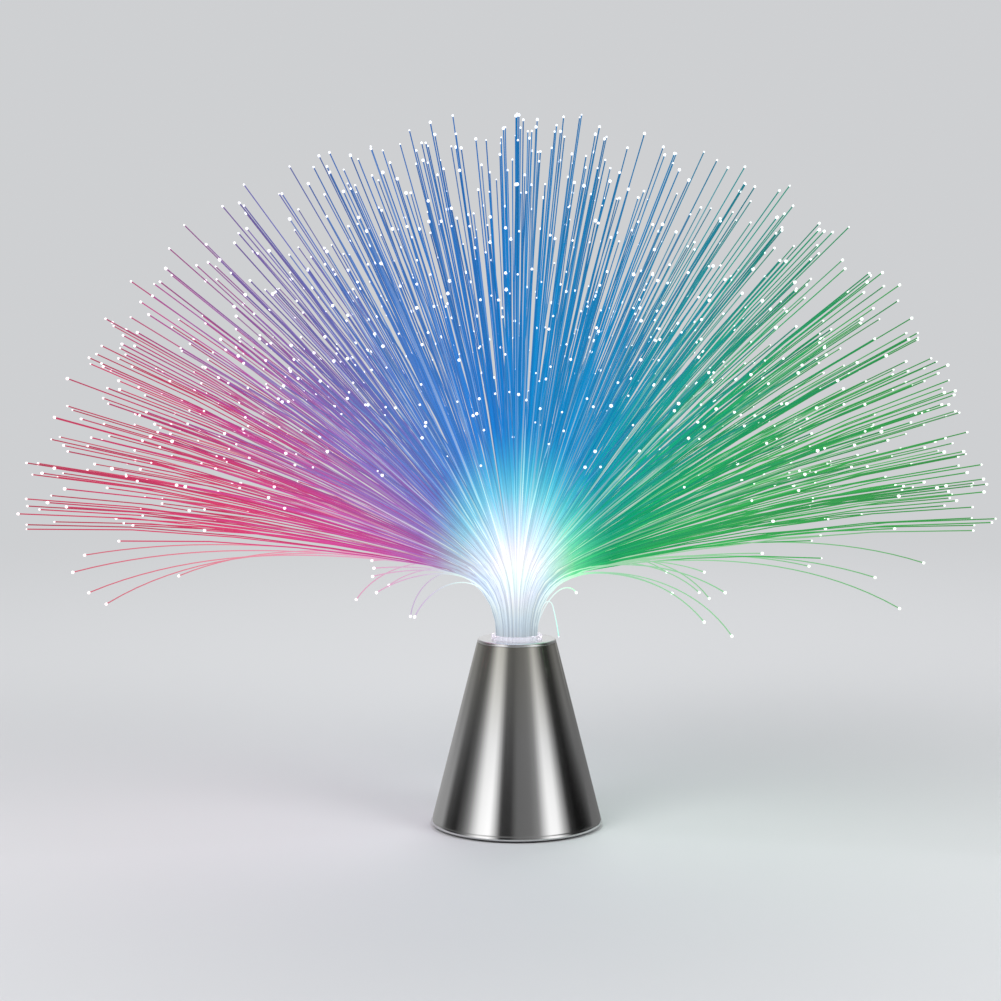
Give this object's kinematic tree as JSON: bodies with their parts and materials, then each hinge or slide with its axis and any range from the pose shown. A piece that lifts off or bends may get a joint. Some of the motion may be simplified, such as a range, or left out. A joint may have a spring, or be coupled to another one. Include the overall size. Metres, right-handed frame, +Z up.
{
  "type": "fiber optic lamp",
  "caption": "Battery fibre-optic lamp: a satin steel cone base with a ball-shaped spray of lit plastic fibres that lifts out, a hinged battery door and a slide switch underneath.",
  "frame": {"origin": "middle of the plane that the four feet stand on, on the axis of the cone", "axes": "+Z up along the axis of the cone and the bundle, -Y towards the front, +X to the right seen from the front"},
  "size_m": [0.4537, 0.4039, 0.336],
  "materials": {
    "satin_steel": "satin",
    "collar_metal": "polished",
    "black_plastic": "matte",
    "board": "gloss",
    "led_red": "clear gloss",
    "led_blue": "clear gloss",
    "led_green": "clear gloss",
    "chip_black": "matte",
    "screw_steel": "zinc plated",
    "cell_jacket": "satin",
    "contact_metal": "nickel plated",
    "wafer_brown": "matte",
    "pin_brass": "tinned",
    "knob_plastic": "satin",
    "wire_red": "satin",
    "wire_black": "satin",
    "wire_white": "satin",
    "foot_rubber": "matte",
    "clear_ferrule": "clear gloss",
    "fibre_lit": "polished",
    "fibre": "clear gloss, lit by the LEDs"
  },
  "bodies": {
    "base": {"outer_sleeve": "satin_steel", "chassis_core": "black_plastic", "top_collar": "collar_metal", "led_board": "board", "led_red": "led_red", "led_blue": "led_blue", "led_green": "led_green", "driver_chip": "chip_black", "resistors": "chip_black", "board_screws": "screw_steel", "base_plate": "black_plastic", "base_screws": "screw_steel", "aaa_cell_1": "cell_jacket", "aaa_cell_2": "cell_jacket", "aaa_cell_3": "cell_jacket", "contact_positive": "contact_metal", "contact_negative": "contact_metal", "contact_bridge_left": "contact_metal", "contact_bridge_right": "contact_metal", "switch_can": "contact_metal", "switch_wafer": "wafer_brown", "switch_pins": "pin_brass", "lead_red": "wire_red", "lead_black": "wire_black", "lead_switch": "wire_white", "foot_1": "foot_rubber", "foot_2": "foot_rubber", "foot_3": "foot_rubber", "foot_4": "foot_rubber"},
    "bundle": {"ferrule": "clear_ferrule", "fibre_butt": "fibre_lit", "fibres_long": "fibre", "fibres_medium": "fibre", "fibres_short": "fibre", "fibres_drooping": "fibre"},
    "door": {"battery_door": "black_plastic", "door_screw": "screw_steel"},
    "slider": {"switch_slider": "knob_plastic"}
  },
  "joints": [
    {"name": "bundle_lift", "type": "slide", "parent": "base", "child": "bundle", "axis": [0, 0, 1], "range_m": [0, 0.045]},
    {"name": "door_hinge", "type": "hinge", "parent": "base", "child": "door", "pos_m": [-0.0238, 0, 0.0018], "axis": [0, 1, 0], "range_deg": [0, 95]},
    {"name": "switch_slide", "type": "slide", "parent": "base", "child": "slider", "axis": [1, 0, 0], "range_m": [-0.004, 0]}
  ]
}
